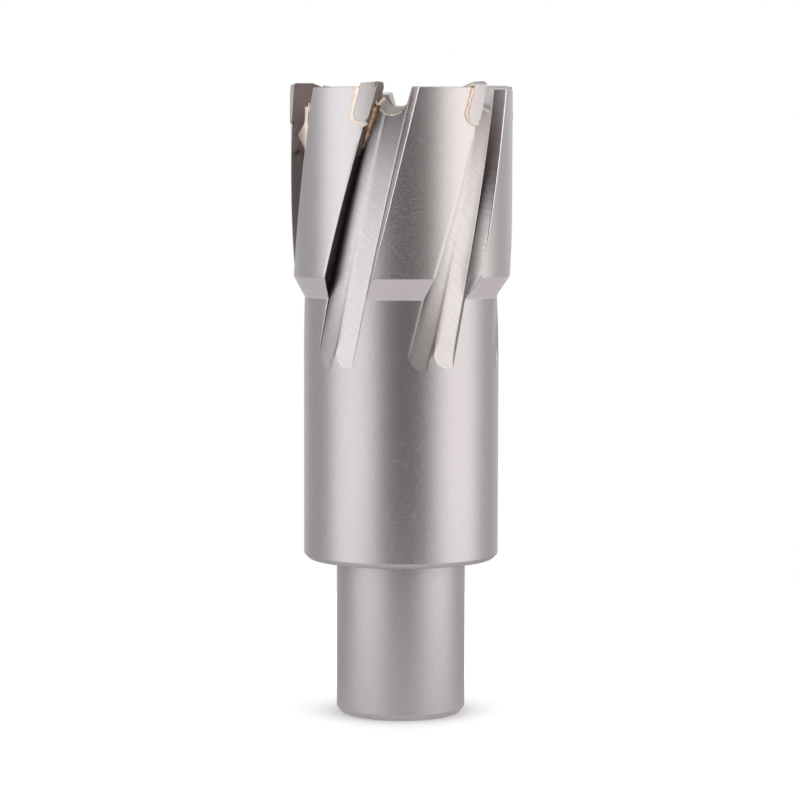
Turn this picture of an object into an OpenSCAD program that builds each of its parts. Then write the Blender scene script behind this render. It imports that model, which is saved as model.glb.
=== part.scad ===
// Annular cutter: a hollow fluted cutting ring with brazed tips, on a plain round shank.
// It stands on its shank with the teeth up. The origin is the centre of the shank's end face.
// Angles run from the front (-Y) towards +X, which is also the way the teeth cut.

/* [Shank] */
// Diameter of the shank
shank_d = 19.05; // [16:0.05:22]
// Length of the shank, from its end face to the shoulder
shank_len = 23.1; // [19:0.1:40]
// Width of the chamfer at the shank's end
shank_chamfer_w = 0.65; // [0.3:0.05:1.2]
// Height of the chamfer at the shank's end
shank_chamfer_h = 0.85; // [0.3:0.05:1.5]
// Depth of each set-screw flat
flat_depth = 1.3; // [0.8:0.1:2.2]
// Length of each set-screw flat
flat_len = 10.5; // [6:0.5:13]
// Height of the middle of the flats
flat_z = 11.5; // [9:0.5:13]
// Angle between the two flats
flat_spread = 90; // [80:5:110]
// Turn of the middle between the flats from the back
flat_turn = 15; // [-180:1:180]
// Diameter of the bore for the pilot pin
pilot_d = 8; // [6:0.1:9]
// Chamfer at both ends of the pilot bore
pilot_chamfer = 0.4; // [0.2:0.1:0.8]

/* [Body] */
// Diameter of the plain body
body_d = 28.8; // [27.5:0.1:30]
// Length of the plain body, from the shoulder to the cone
body_len = 38.8; // [32:0.2:60]
// Chamfer at the shoulder's edge
shoulder_chamfer = 0.7; // [0.3:0.1:1.5]
// Length of the cone between body and head
cone_len = 3.1; // [2:0.1:6]
// Length of the fluted head, from the cone to the steel rim
head_len = 27.2; // [22:0.1:40]

/* [Cut] */
// Diameter that the tips cut
cut_d = 33; // [31:0.5:36]
// Depth of the deepest hole that can be cut
cut_depth = 55; // [45:1:58]
// How far the steel lands stand back from the tips' outer faces
land_relief = 0.2; // [0.1:0.05:0.4]
// Diameter of the bore that takes the slug
bore_d = 23; // [20:0.5:24]
// Room left over the slug at full depth
slug_room = 1; // [0.5:0.5:3]
// Chamfer round the inside of the rim
rim_chamfer = 0.4; // [0.1:0.1:0.6]

/* [Flutes] */
// Number of teeth
teeth = 6; // [4:1:6]
// Angle of the first tooth's cutting edge from the front
first_tooth = -11.9; // [-30:0.1:30]
// Width of a flute at the rim, in degrees
flute_deg = 21.2; // [19:0.1:24]
// Turn from the steel wall under a tip to the ridge in the flute's floor, at the rim
ridge_deg = 7.1; // [5:0.1:9]
// How far the steel wall under a tip trails its cutting edge, in degrees
wall_lag = 1.0; // [0.8:0.1:2]
// Helix angle of the wall under the tips
wall_helix = 17.2; // [15:0.1:20]
// Helix angle of the ridge in the floor
ridge_helix = 14.8; // [13:0.1:16]
// Helix angle of the flute's back wall
back_helix = 13.9; // [12:0.1:15]
// How far the wall under a tip leans back from the radius
wall_lean = 7; // [0:0.5:10]
// How far the flute's back wall leans open
back_lean = 21; // [15:0.5:30]
// Depth of the leading groove under the body's surface, beside the wall
lead_depth = 0.22; // [0.1:0.01:0.5]
// Depth of the leading groove beside the ridge
lead_low_depth = 0.34; // [0.2:0.01:0.8]
// Depth of the trailing groove under the body's surface
trail_depth = 0.27; // [0.1:0.01:0.5]
// Slope at which the trailing groove grows shallower towards the rim, in degrees
trail_taper = 1.1; // [0:0.1:2]
// Depth of the ridge's crest under the body's surface
crest_depth = 0.22; // [0.05:0.01:0.25]
// Radius of the disc cutter that leaves the run-out at the foot of the grooves
disc_r = 40; // [30:1:60]
// Width of that disc cutter
disc_w = 3; // [2:0.1:4]
// Distance below the cone at which the grooves start to run out
runout_drop = 4.6; // [2:0.1:8]

/* [Gullets] */
// Width of the gullet cut through the ring in front of each tip
gullet_w = 4.7; // [3.5:0.1:5.2]
// Depth of the gullet's floor under the top of the tip
gullet_depth = 4.3; // [3.5:0.1:5.5]
// Fall of the gullet's floor towards the outside
gullet_fall = 23; // [10:1:30]

/* [Tips] */
// Thickness of a tip, along the cut
tip_w = 2.4; // [2:0.1:3.2]
// Height of a tip
tip_h = 6.3; // [5.5:0.1:8]
// Lean of a tip along the flute
tip_lean = 15.5; // [10:0.5:18]
// How far the tips stand above the steel rim
tip_rise = 0.7; // [0.4:0.05:1.2]
// How far the tips reach into the slug bore
tip_inset = 0.1; // [0.05:0.05:0.3]
// Relief of a tip's top behind its edge
tip_relief = 5; // [3:0.5:10]
// Thickness of the braze round a tip
braze_t = 0.16; // [0.1:0.02:0.3]

/* [Hidden] */
$fn = 96;
// Overshoot of cuts past the faces they open
over = 1;
shank_r = shank_d / 2;
pilot_r = pilot_d / 2;
body_r = body_d / 2;
bore_r = bore_d / 2;
cut_r = cut_d / 2;
land_r = cut_r - land_relief;
tip_in_r = bore_r - tip_inset;
cone_z = shank_len + body_len;
head_z = cone_z + cone_len;
rim_z = head_z + head_len;
tip_z = rim_z + tip_rise;
bore_z = tip_z - cut_depth - slug_room;
// Outside radius of every cut that leaves through the lands
cut_out_r = cut_r + 2 * over;
runout_z = cone_z - runout_drop;
// Half the drop of the run-out across a groove, because the disc follows the helix
runout_skew = disc_w / 2 * tan(wall_helix);
// Radius on which the ridge's crest climbs out between the two grooves
crest_runout_r = disc_r / 2;
// Half the crest's width, and the turn from its middle to the floor on either side
crest_half_deg = 0.45;
lead_foot_deg = 1.2;
trail_foot_deg = 1.8;
// Lowest section of a flute, where its floor is clear of the body by this much
foot_clear = 0.16;
flute_foot_z = runout_z - runout_skew - sqrt(2 * disc_r * (lead_low_depth + foot_clear));
// Steps of the flute's loft below and above the start of the run-out
runout_steps = 10;
flute_steps = 12;
section_points = 9;
gullet_r = gullet_w / 2;
tip_r = tip_w / 2;
// Top forms of the tips in turn: where the outer bevel starts, its fall, where the inner bevel starts,
// its fall, and the rise of the crest. Both distances run inward from the cutting circle, so the crest
// between the bevels keeps its width when the circle changes.
tip_forms = [
    [0, 0, 3.8, 27, 0],
    [0.75, 28, 0.8, 20, 0.25],
    [0.3, 40, 2.9, 20, 0.1]
];

function on_ring(r, a, z) = [r * sin(a), -r * cos(a), z];
// Turn of a helix in degrees per millimetre of height
function turn(helix) = tan(helix) / land_r * 180 / PI;
// Turn at radius r from the edge of a wall on the land to the wall itself
function leaned(r, lean) = atan((land_r - r) * tan(lean) / r);
// Height that a groove's floor has climbed at height z
function climb(z, r) = z < runout_z ? r - sqrt(r * r - pow(runout_z - z, 2)) : 0;
function wall_at(z) = -wall_lag - turn(wall_helix) * (rim_z - z);
function ridge_at(z) = -wall_lag + ridge_deg - turn(ridge_helix) * (rim_z - z);
function back_at(z) = -wall_lag + flute_deg - turn(back_helix) * (rim_z - z);

// One level section of a flute: wall, leading floor, crest, trailing floor and back wall
function flute_section(z) =
    let (
        lead_r = body_r - lead_depth + climb(z - runout_skew, disc_r),
        lead_low_r = body_r - lead_low_depth + climb(z + runout_skew, disc_r),
        crest_r = body_r - crest_depth + climb(z, crest_runout_r),
        trail_r = body_r - trail_depth + climb(z - runout_skew, disc_r),
        trail_rise = max(0, z - head_z) * tan(trail_taper),
        trail_low_r = body_r - trail_depth + trail_rise + climb(z + runout_skew, disc_r)
    )
    [
        on_ring(cut_out_r, wall_at(z) - leaned(cut_out_r, wall_lean), z),
        on_ring(lead_r, wall_at(z) - leaned(lead_r, wall_lean), z),
        on_ring(lead_low_r, ridge_at(z) - lead_foot_deg, z),
        on_ring(crest_r, ridge_at(z) - crest_half_deg, z),
        on_ring(crest_r, ridge_at(z) + crest_half_deg, z),
        on_ring(trail_r, ridge_at(z) + trail_foot_deg, z),
        on_ring(trail_low_r, back_at(z) - leaned(trail_low_r, back_lean), z),
        on_ring(cut_out_r, back_at(z) - leaned(cut_out_r, back_lean), z),
        on_ring(cut_out_r, (wall_at(z) + back_at(z)) / 2, z)
    ];

// The double groove of one flute, lofted up the helix
module flute() {
    levels = concat(
        [for (i = [0:runout_steps - 1]) flute_foot_z + (runout_z - flute_foot_z) * i / runout_steps],
        [for (i = [0:flute_steps]) runout_z + (rim_z + over - runout_z) * i / flute_steps]
    );
    n = section_points;
    last = len(levels) - 1;
    sides = [
        for (k = [0:last - 1], j = [0:n - 1])
            let (a = k * n + j, b = k * n + (j + 1) % n)
            each [[a, b, b + n], [a, b + n, a + n]]
    ];
    foot = [for (j = [0:n - 3]) [n - 1, j + 1, j]];
    top = [for (j = [0:n - 3]) [last * n + n - 1, last * n + j, last * n + j + 1]];
    polyhedron(
        points = [for (z = levels) each flute_section(z)],
        faces = concat(sides, foot, top),
        convexity = 6
    );
}

// Places a shape at tooth number i, whose cutting edge then points forwards
module at_tooth(i) {
    rotate([0, 0, first_tooth + (i - 1) * 360 / teeth])
        children();
}

// Frame of a tip: its rake face lies on x = 0, its top edge on z = 0, and it leans with the flute
module tip_frame() {
    translate([0, 0, tip_z])
        rotate([0, tip_lean, 0])
            children();
}

// Prism that runs out through the ring, from a profile with x along the cut and y up
module radial_prism() {
    rotate([90, 0, 0])
        linear_extrude(cut_out_r)
            children();
}

// Outline of a tip with a round foot, grown by the given amount behind and below it
module tip_outline(grow) {
    difference() {
        union() {
            translate([-tip_r, tip_r - tip_h])
                circle(tip_r + grow);
            translate([-tip_w - grow, tip_r - tip_h])
                square([tip_w + 2 * grow, tip_h + over]);
        }
        translate([0, -2 * tip_h])
            square([tip_w, 4 * tip_h]);
    }
}

module ring(inner_r, outer_r, top_z) {
    difference() {
        cylinder(r = outer_r, h = top_z);
        translate([0, 0, -over])
            cylinder(r = inner_r, h = top_z + 2 * over);
    }
}

// The turned blank: shank, shoulder, body, cone and head in one profile
module turned_blank() {
    rotate_extrude()
        polygon([
            [0, 0],
            [shank_r - shank_chamfer_w, 0],
            [shank_r, shank_chamfer_h],
            [shank_r, shank_len],
            [body_r - shoulder_chamfer, shank_len],
            [body_r, shank_len + shoulder_chamfer],
            [body_r, cone_z],
            [land_r, head_z],
            [land_r, rim_z],
            [0, rim_z]
        ]);
}

// Pilot bore and slug bore in one profile
module stepped_bore() {
    rotate_extrude()
        polygon([
            [0, -over],
            [pilot_r + pilot_chamfer + over, -over],
            [pilot_r, pilot_chamfer],
            [pilot_r, bore_z - pilot_chamfer],
            [pilot_r + pilot_chamfer, bore_z],
            [bore_r, bore_z],
            [bore_r, rim_z - rim_chamfer],
            [bore_r + rim_chamfer + over, rim_z + over],
            [0, rim_z + over]
        ]);
}

module set_screw_flats() {
    for (side = [-1, 1])
        rotate([0, 0, flat_turn + side * flat_spread / 2])
            translate([-shank_r, shank_r - flat_depth, flat_z - flat_len / 2])
                cube([shank_d, flat_depth + over, flat_len]);
}

// Round-bottomed gullet through the ring in front of a tip, falling outwards
module gullet() {
    floor_r = body_r - trail_depth;
    setback = wall_lag * PI / 180 * land_r;
    reach = cut_out_r - floor_r;
    tip_frame()
        translate([gullet_r - setback, -floor_r, gullet_r / cos(gullet_fall) - gullet_depth])
            rotate([gullet_fall, 0, 0]) {
                rotate([90, 0, 0])
                    cylinder(r = gullet_r, h = 2 * reach, center = true);
                translate([-gullet_r, -reach, 0])
                    cube([gullet_w, 2 * reach, tip_h]);
            }
}

module tip_pocket() {
    tip_frame()
        radial_prism()
            tip_outline(braze_t);
}

module cutter_body() {
    color("silver")
        difference() {
            turned_blank();
            stepped_bore();
            set_screw_flats();
            for (i = [1:teeth])
                at_tooth(i) {
                    flute();
                    gullet();
                    tip_pocket();
                }
        }
}

// Side view of a tip's ground top, with x outwards along the edge and y up
module tip_side(form) {
    outer_x = cut_r - form[0];
    inner_x = cut_r - form[2];
    top_y = form[4];
    polygon([
        [0, -2 * tip_h],
        [0, top_y - inner_x * tan(form[3])],
        [inner_x, top_y],
        [outer_x, top_y],
        [cut_out_r, top_y - (cut_out_r - outer_x) * tan(form[1])],
        [cut_out_r, -2 * tip_h]
    ]);
}

module carbide_tip(i) {
    color("gainsboro")
        intersection() {
            at_tooth(i)
                tip_frame()
                    radial_prism()
                        tip_outline(0);
            at_tooth(i)
                translate([0, 0, tip_z])
                    rotate([0, -tip_relief, 0])
                        translate([over, 0, 0])
                            rotate([90, 0, -90])
                                linear_extrude(2 * tip_h)
                                    tip_side(tip_forms[(i - 1) % len(tip_forms)]);
            ring(tip_in_r, cut_r, tip_z + over);
        }
}

module braze_joint(i) {
    color("tan")
        intersection() {
            at_tooth(i)
                tip_frame()
                    radial_prism()
                        difference() {
                            tip_outline(braze_t);
                            tip_outline(0);
                        }
            ring(bore_r, land_r, rim_z);
        }
}

cutter_body();
for (i = [1:teeth]) {
    carbide_tip(i);
    braze_joint(i);
}
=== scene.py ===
# Looks of an annular cutter: satin steel body, milled double flutes, brazed carbide tips.
import functools
from math import asin, atan, atan2, cos, degrees, exp, pi, radians, sin, sqrt, tan

import bmesh
import bpy
from mathutils import Matrix, Vector, noise


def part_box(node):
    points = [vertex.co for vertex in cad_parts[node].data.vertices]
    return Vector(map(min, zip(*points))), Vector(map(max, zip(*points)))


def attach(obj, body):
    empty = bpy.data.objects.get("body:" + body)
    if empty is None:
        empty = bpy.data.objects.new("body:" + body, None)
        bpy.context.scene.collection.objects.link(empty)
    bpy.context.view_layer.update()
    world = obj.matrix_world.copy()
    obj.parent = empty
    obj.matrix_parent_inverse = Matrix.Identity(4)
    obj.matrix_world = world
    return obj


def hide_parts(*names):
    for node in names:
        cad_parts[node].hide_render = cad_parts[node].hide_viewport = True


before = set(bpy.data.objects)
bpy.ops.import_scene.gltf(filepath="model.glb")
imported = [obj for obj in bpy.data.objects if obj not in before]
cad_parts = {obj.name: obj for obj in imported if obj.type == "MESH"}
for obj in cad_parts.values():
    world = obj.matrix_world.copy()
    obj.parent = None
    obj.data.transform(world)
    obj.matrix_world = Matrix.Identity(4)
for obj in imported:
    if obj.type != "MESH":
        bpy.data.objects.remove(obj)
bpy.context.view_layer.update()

# Sizes in millimetres, as the solids are built. Angles in degrees run from the front towards +X.
MM = 0.001
TEETH = 6
FIRST_TOOTH = -11.9
SECTOR = 360 / TEETH
# Shank with two set-screw flats and a pilot bore
SHANK_R = 19.05 / 2
SHANK_LEN = 23.1
SHANK_CHAMFER_W = 0.65
SHANK_CHAMFER_H = 0.85
FLAT_DEPTH = 1.3
FLAT_LEN = 10.5
FLAT_Z = 11.5
FLAT_SPREAD = 90
FLAT_TURN = 15
PILOT_R = 4.0
PILOT_CHAMFER = 0.4
# Body, cone, head and slug bore
BODY_R = 14.4
SHOULDER_CHAMFER = 0.7
CONE_Z = 61.9
HEAD_Z = 65.0
RIM_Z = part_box("cutter_body")[1].z / MM
CUT_R = 16.5
LAND_R = 16.299
BORE_R = 11.5
BORE_Z = 36.9
RIM_CHAMFER = 0.4
# Flutes: widths at the rim, helix and lean of the walls, depths of the floors and of the ridge between them
FLUTE_DEG = 21.2
RIDGE_DEG = 7.1
WALL_LAG = 1.0
WALL_HELIX = 17.2
RIDGE_HELIX = 14.8
BACK_HELIX = 13.9
WALL_LEAN = 7
BACK_LEAN = 21
LEAD_DEPTH = 0.22
LEAD_LOW_DEPTH = 0.34
TRAIL_DEPTH = 0.27
TRAIL_TAPER = 1.1
CREST_DEPTH = 0.22
CREST_WEAR = 0.065
CREST_HALF_DEG = 0.45
LEAD_FOOT_DEG = 1.2
TRAIL_FOOT_DEG = 1.8
TRAIL_R = BODY_R - TRAIL_DEPTH
# Run-out of the flutes, on the milling disc's radius
DISC_R = 40
CREST_RUNOUT_R = DISC_R / 2
RUNOUT_Z = CONE_Z - 4.6
RUNOUT_SKEW = 1.5 * tan(radians(WALL_HELIX))
# Gullets and tips
GULLET_R = 2.35
GULLET_DEPTH = 4.3
GULLET_FALL = 23
TIP_Z = RIM_Z + 0.7
TIP_W = 2.4
TIP_R = TIP_W / 2
TIP_H = 6.3
TIP_FOOT = TIP_R - TIP_H
TIP_LEAN = 15.5
BRAZE_T = 0.16
# Small breaks that a file and a used milling cutter leave on edges and in corners
EDGE_BREAK = 0.1
RIM_BREAK = 0.1
CORNER_FILLET = 0.14
HONE = 0.09
# The back wall's edge is filed near the teeth: its break there, its break below, and where filing sets in
BACK_BREAK = 0.14
SHARP_BREAK = 0.03
FILED_Z = (66, 73)


def ease(x, start, stop):
    """Smooth step of x from 0 at start to 1 at stop."""
    t = min(1.0, max(0.0, (x - start) / (stop - start)))
    return t * t * (3 - 2 * t)


def turn(helix):
    """Degrees of turn for each millimetre of height on a helix round the lands."""
    return degrees(tan(radians(helix)) / LAND_R)


def leaned(r, lean):
    """Turn at radius r from a wall's edge on the land to the wall itself."""
    return degrees(atan((LAND_R - r) * tan(radians(lean)) / r))


def helix_at(lag, helix, z):
    """Angle at height z of an edge that lags behind the tip by an angle at the rim and follows a helix."""
    return lag - WALL_LAG - turn(helix) * (RIM_Z - z)


def on_ring(r, deg):
    a = radians(deg)
    return Vector((r * sin(a), -r * cos(a)))


def angle_of(p):
    return degrees(atan2(p.x, -p.y))


def to_tooth(i):
    """Turn from the front to tooth i, counted from 1."""
    return Matrix.Rotation(radians(FIRST_TOOTH + (i - 1) * SECTOR), 4, "Z")


# Materials. Heights between which the flutes' finishes change, and shares of that span where tones are given
FLUTE_SPAN = {"From Min": 52 * MM, "From Max": 92 * MM}
TONE_STEPS = (0.1, 0.5, 0.7, 0.9)
# Mean radius of the flutes' floors
FLOOR_R = 14.2
# Painted shade on a floor in the wall's corner: turn before the wall's foot where it starts, turn it covers,
# and share of light it leaves
SHADE_LEAD = 1.5
SHADE_DEG = 12
SHADE_FADE = ((0.14, 0.05), (0.29, 0.36), (0.44, 0.68), (0.62, 0.86), (0.88, 1.0))


def linear(code):
    """Linear colour of an sRGB hex value such as #c8b090."""
    parts = [int(code[i:i + 2], 16) / 255 for i in (1, 3, 5)]
    return [c / 12.92 if c <= 0.04045 else ((c + 0.055) / 1.055) ** 2.4 for c in parts] + [1.0]


def grey(value):
    return (value, value, value, 1.0)


def add(tree, kind, settings=None, inputs=None, links=None, stops=None):
    """Adds a shader node with properties, input values, links from other nodes' outputs, and ramp stops."""
    node = tree.nodes.new("ShaderNode" + kind)
    for key, value in (settings or {}).items():
        setattr(node, key, value)
    for key, value in (inputs or {}).items():
        node.inputs[key].default_value = value
    for key, (source, output) in (links or {}).items():
        tree.links.new(source.outputs[output], node.inputs[key])
    for n, (position, colour) in enumerate(stops or []):
        elements = node.color_ramp.elements
        element = elements[n] if n < 2 else elements.new(position)
        element.position, element.color = position, colour
    return node


def new_material(name):
    """An empty node material, its tree, and a node that gives the place on the object."""
    material = bpy.data.materials.new(name)
    material.use_nodes = True
    tree = material.node_tree
    tree.nodes.clear()
    return material, tree, add(tree, "TexCoord")


def metal(material, tree, links, values, relief, strength, depth):
    """Completes a metal's material: a shallow relief, the shader's links and values, and the output."""
    bump = add(
        tree, "Bump", inputs={"Strength": strength, "Distance": depth * MM},
        links={"Height": (relief, "Fac")})
    links = {**links, "Normal": (bump, "Normal")}
    shader = add(tree, "BsdfPrincipled", inputs={"Metallic": 1.0, **values}, links=links)
    add(tree, "OutputMaterial", links={"Surface": (shader, "BSDF")})
    return material


def satin_steel(name, dull, bright, grit, roughness, marks):
    """Ground and fine-blasted tool steel: a soft sheen, broken by fine specks and a few short turning marks.

    The real grit is too fine to show in a render, so its specks are drawn several times coarser.
    """
    mark_len, mark_flatness = 1.4, 7.0
    material, tree, spot = new_material(name)
    specks = add(
        tree, "TexNoise", inputs={"Scale": 1 / (grit * MM), "Detail": 3.0, "Roughness": 0.6},
        links={"Vector": (spot, "Object")})
    flat = add(
        tree, "Mapping", inputs={"Scale": (1.0, 1.0, mark_flatness)}, links={"Vector": (spot, "Object")})
    dashes = add(
        tree, "TexNoise", inputs={"Scale": 1 / (mark_len * MM), "Detail": 1.0},
        links={"Vector": (flat, "Vector")})
    scored = add(
        tree, "MapRange", inputs={"From Min": 0.6, "From Max": 0.75, "To Min": 0.0, "To Max": marks},
        links={"Value": (dashes, "Fac")})
    blasted = add(
        tree, "MapRange",
        inputs={"From Min": 0.45, "From Max": 0.7, "To Min": roughness[0], "To Max": roughness[1]},
        links={"Value": (specks, "Fac")})
    rough = add(tree, "Math", {"operation": "ADD"}, links={0: (blasted, "Result"), 1: (scored, "Result")})
    colour = add(
        tree, "ValToRGB", links={"Fac": (specks, "Fac")}, stops=[(0.3, linear(dull)), (0.7, linear(bright))])
    return metal(
        material, tree, {"Base Color": (colour, "Color"), "Roughness": (rough, "Value")},
        {}, specks, strength=0.3, depth=0.03)


def turned_steel(name, colour, roughness):
    """Turned tool steel: fine rings of the lathe's feed.

    The real feed is too fine to show in a render, so it is drawn coarser.
    """
    feed = 0.3
    material, tree, spot = new_material(name)
    axes = add(tree, "SeparateXYZ", links={"Vector": (spot, "Object")})
    rings = add(
        tree, "TexNoise", {"noise_dimensions": "1D"}, {"Scale": 1 / (feed * MM), "Detail": 2.0},
        {"W": (axes, "Z")})
    tone = add(
        tree, "MapRange", inputs={"From Min": 0.3, "From Max": 0.7, "To Min": 0.97, "To Max": 1.03},
        links={"Value": (rings, "Fac")})
    base = add(
        tree, "Mix", {"data_type": "RGBA", "blend_type": "MULTIPLY"}, {"Factor": 1.0, "A": linear(colour)},
        {"B": (tone, "Result")})
    return metal(
        material, tree, {"Base Color": (base, "Result")},
        {"Roughness": roughness}, rings, strength=0.1, depth=0.02)


def wall_with_painted_shade():
    """Ground flute wall: dark low down as painted shade, grey further up, tinted brown by the heat of
    brazing.
    """
    material, tree, spot = new_material("tool_steel_ground_wall")
    axes = add(tree, "SeparateXYZ", links={"Vector": (spot, "Object")})
    height = add(tree, "MapRange", inputs=FLUTE_SPAN, links={"Value": (axes, "Z")})
    cloud = add(
        tree, "TexNoise", inputs={"Scale": 1 / (1.5 * MM), "Detail": 3.0}, links={"Vector": (spot, "Object")})
    shift = add(tree, "Math", {"operation": "MULTIPLY_ADD"}, {1: 0.16, 2: -0.08}, {0: (cloud, "Fac")})
    uneven = add(tree, "Math", {"operation": "ADD"}, links={0: (height, "Result"), 1: (shift, "Value")})
    # The two darkest stops, low in the flute, are painted shade
    colour = add(
        tree, "ValToRGB", links={"Fac": (uneven, "Value")},
        stops=[(0.1, linear("#4b4442")), (0.3, linear("#5c5452")), (0.45, linear("#a59d9a")),
            (0.75, linear("#a8a19e")), (0.9, linear("#b3a6a1"))])
    shader = add(
        tree, "BsdfPrincipled", inputs={"Metallic": 1.0, "Roughness": 0.32},
        links={"Base Color": (colour, "Color")})
    add(tree, "OutputMaterial", links={"Surface": (shader, "BSDF")})
    return material


def mill_lines(tree, spot, axes, angle, slope):
    """Slanting lines that a mill's teeth left, and the same lines broken up along their length."""
    spacing, waviness, patch = 0.55, 0.9, 1.2
    slanted = add(
        tree, "Math", {"operation": "MULTIPLY_ADD"}, {1: slope * FLOOR_R * MM},
        {0: (angle, "Value"), 2: (axes, "Z")})
    drift = add(
        tree, "TexNoise", inputs={"Scale": 1 / (patch * MM), "Detail": 2.0},
        links={"Vector": (spot, "Object")})
    wavy = add(
        tree, "Math", {"operation": "MULTIPLY_ADD"}, {1: waviness * MM},
        {0: (drift, "Fac"), 2: (slanted, "Value")})
    lines = add(
        tree, "TexNoise", {"noise_dimensions": "1D"}, {"Scale": 1 / (spacing * MM), "Detail": 0.0},
        {"W": (wavy, "Value")})
    broken = add(tree, "Math", {"operation": "MULTIPLY"}, links={0: (lines, "Fac"), 1: (drift, "Fac")})
    return lines, broken


def paint_corner_shade(tree, axes, angle):
    """Share of light that painted shade leaves on a floor in the wall's corner, by the turn from the wall's
    foot, which follows the wall's helix.
    """
    wall_foot = radians(FIRST_TOOTH + helix_at(0, WALL_HELIX, 0) - leaned(BODY_R, WALL_LEAN) - SHADE_LEAD)
    unwound = add(
        tree, "Math", {"operation": "MULTIPLY_ADD"}, {1: -radians(turn(WALL_HELIX)) / MM},
        {0: (axes, "Z"), 2: (angle, "Value")})
    from_wall = add(tree, "Math", {"operation": "SUBTRACT"}, {1: wall_foot}, {0: (unwound, "Value")})
    in_flute = add(
        tree, "Math", {"operation": "FLOORED_MODULO"}, {1: radians(SECTOR)}, {0: (from_wall, "Value")})
    aside = add(
        tree, "MapRange", inputs={"From Max": radians(SHADE_DEG)}, links={"Value": (in_flute, "Value")})
    return add(
        tree, "ValToRGB", links={"Fac": (aside, "Result")},
        stops=[(at, grey(share)) for at, share in SHADE_FADE])


def milled_steel(name, tones, roughness, slope, streak, corner_shade_amount, shade):
    """Side-milled tool steel: slanting streaks, painted shade in the wall's corner, painted shade deep in the
    flute and painted highlight at its outer edges.

    The real mill marks are finer than a render shows, so they are drawn coarser.
    """
    material, tree, spot = new_material(name)
    axes = add(tree, "SeparateXYZ", links={"Vector": (spot, "Object")})
    front = add(tree, "Math", {"operation": "MULTIPLY"}, {1: -1.0}, {0: (axes, "Y")})
    angle = add(tree, "Math", {"operation": "ARCTAN2"}, links={0: (axes, "X"), 1: (front, "Value")})
    lines, broken = mill_lines(tree, spot, axes, angle, slope)
    streaks = add(
        tree, "MapRange",
        inputs={"From Min": 0.1, "From Max": 0.4, "To Min": 1 - streak, "To Max": 1 + streak},
        links={"Value": (broken, "Value")})
    # Painted shade deep in the flute that turns to a painted highlight towards the lands' radius, by distance
    # from the axis
    level = add(tree, "VectorMath", {"operation": "MULTIPLY"}, {1: (1, 1, 0)}, {0: (spot, "Object")})
    out = add(tree, "VectorMath", {"operation": "LENGTH"}, links={0: (level, "Vector")})
    painted_depth_light = add(
        tree, "MapRange",
        inputs={"From Min": TRAIL_R * MM, "From Max": LAND_R * MM, "To Min": 1 - shade, "To Max": 1 + shade},
        links={"Value": (out, "Value")})
    streaks_and_depth_light = add(tree, "Math", {"operation": "MULTIPLY"}, links={0: (streaks, "Result"), 1: (painted_depth_light, "Result")})
    height = add(tree, "MapRange", inputs=FLUTE_SPAN, links={"Value": (axes, "Z")})
    colour = add(
        tree, "ValToRGB", links={"Fac": (height, "Result")},
        stops=[(at, linear(code)) for at, code in zip(TONE_STEPS, tones)])
    rough = add(
        tree, "ValToRGB", links={"Fac": (height, "Result")},
        stops=[(at, grey(r)) for at, r in zip(TONE_STEPS, roughness)])
    # Painted shade on the floor beside the wall's foot, weaker low in the flute; clean is the share of light
    # it leaves
    clean = paint_corner_shade(tree, axes, angle)
    thick = add(
        tree, "MapRange", inputs={"From Min": 0.1, "From Max": 0.3, "To Min": 0.3 * corner_shade_amount, "To Max": corner_shade_amount},
        links={"Value": (height, "Result")})
    streaked = add(
        tree, "Mix", {"data_type": "RGBA", "blend_type": "MULTIPLY"}, {"Factor": 1.0},
        {"A": (colour, "Color"), "B": (streaks_and_depth_light, "Value")})
    base = add(
        tree, "Mix", {"data_type": "RGBA", "blend_type": "MULTIPLY"},
        links={"Factor": (thick, "Result"), "A": (streaked, "Result"), "B": (clean, "Color")})
    return metal(
        material, tree, {"Base Color": (base, "Result"), "Roughness": (rough, "Color")},
        {}, lines, strength=0.02, depth=0.03)


def ground_carbide(name, pores, dull, bright):
    """Ground tungsten carbide: a slightly dull sheen with a few dark pores, browned where heat tinted it."""
    material, tree, spot = new_material(name)
    cloud = add(
        tree, "TexNoise", inputs={"Scale": 1 / (0.5 * MM), "Detail": 4.0}, links={"Vector": (spot, "Object")})
    colour = add(
        tree, "ValToRGB", links={"Fac": (cloud, "Fac")},
        stops=[(0.3, linear(pores)), (0.38, linear(dull)), (0.7, linear(bright))])
    return metal(
        material, tree, {"Base Color": (colour, "Color")},
        {"Roughness": 0.44}, cloud, strength=0.06, depth=0.01)


def poured_braze():
    """Silver-brass braze that flowed: pale peach where thick, brown along its edges, grey as a thin film."""
    material, tree, spot = new_material("silver_brass_braze_flowed")
    tarnish = add(tree, "Attribute", {"attribute_name": "tarnish"})
    cloud = add(
        tree, "TexNoise", inputs={"Scale": 1 / (0.6 * MM), "Detail": 4.0}, links={"Vector": (spot, "Object")})
    uneven = add(tree, "Math", {"operation": "MULTIPLY_ADD"}, {1: 0.3, 2: 0.1}, {0: (cloud, "Fac")})
    tone = add(
        tree, "Math", {"operation": "MULTIPLY_ADD"}, {1: 0.6}, {0: (tarnish, "Fac"), 2: (uneven, "Value")})
    colour = add(
        tree, "ValToRGB", links={"Fac": (tone, "Value")},
        stops=[(0.0, linear("#aaa49f")), (0.19, linear("#f6ebe0")), (0.37, linear("#f6ebe0")),
            (0.55, linear("#ead3bb")), (0.7, linear("#b8946f")), (0.85, linear("#6e5d52")),
            (1.0, linear("#b3a6a1"))])
    return metal(
        material, tree, {"Base Color": (colour, "Color")},
        {"Roughness": 0.58}, cloud, strength=0.4, depth=0.05)


# Finishes of the body's faces, in the order in which body_finishes makes them
WALL, LEAD, TRAIL, BACK, BODY, CONE, BORE, LAND, SHANK = range(9)


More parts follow.
